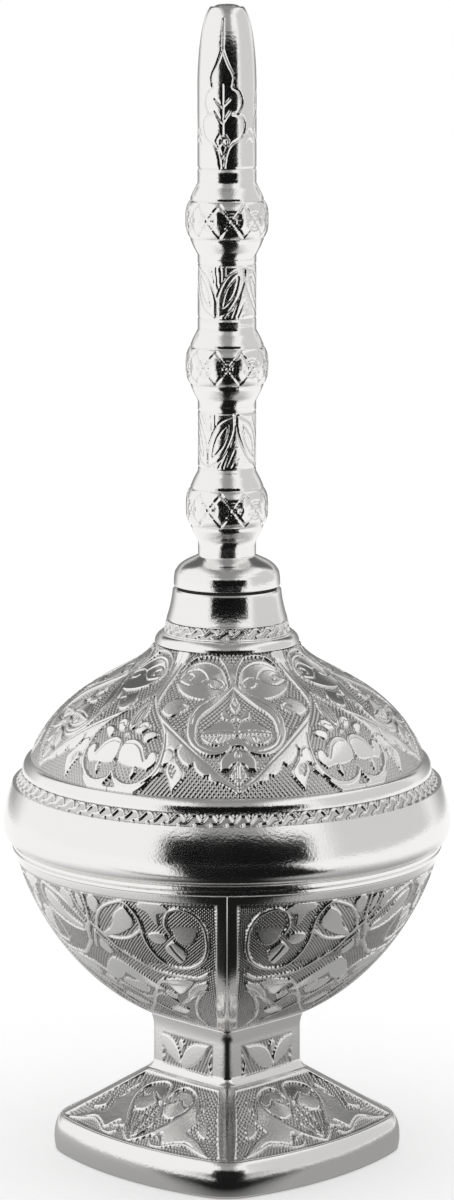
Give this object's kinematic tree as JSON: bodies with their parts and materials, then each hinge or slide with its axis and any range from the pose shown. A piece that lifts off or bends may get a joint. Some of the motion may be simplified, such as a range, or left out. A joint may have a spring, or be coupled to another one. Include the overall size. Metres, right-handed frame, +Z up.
{
  "type": "rosewater sprinkler",
  "caption": "Silver plated rosewater sprinkler: round carved bottle on a square foot, with a long beaded spout that unscrews for filling.",
  "frame": {"origin": "on the floor, under the middle of the foot", "axes": "+Z up along the bottle's axis; one corner of the square foot points along -Y, another along +X"},
  "size_m": [0.0856, 0.0856, 0.22],
  "materials": {
    "felt": "short felt",
    "silver_plate": "bright silver plate on a zinc casting",
    "solder": "plated solder, slightly rough",
    "brass": "turned brass",
    "washer": "matte rubber"
  },
  "bodies": {
    "bottle": {"base_pad": "felt", "lower_body": "silver_plate", "seam_solder": "solder", "upper_body": "silver_plate", "neck_bush": "brass"},
    "washer": {"gasket": "washer"},
    "spout_unit": {"nipple": "brass", "spout": "silver_plate", "rose": "silver_plate"}
  },
  "joints": [
    {"name": "spout_lift", "type": "slide", "parent": "bottle", "child": "washer", "axis": [0, 0, 1], "range_m": [0, 0.009]},
    {"name": "spout_turn", "type": "hinge", "parent": "washer", "child": "spout_unit", "pos_m": [0, 0, 0.11], "axis": [0, 0, 1], "range_deg": [0, 2160]}
  ],
  "couplings": [
    {"joint": "spout_turn", "follows": "spout_lift", "rad_per_m": 4188.8}
  ]
}
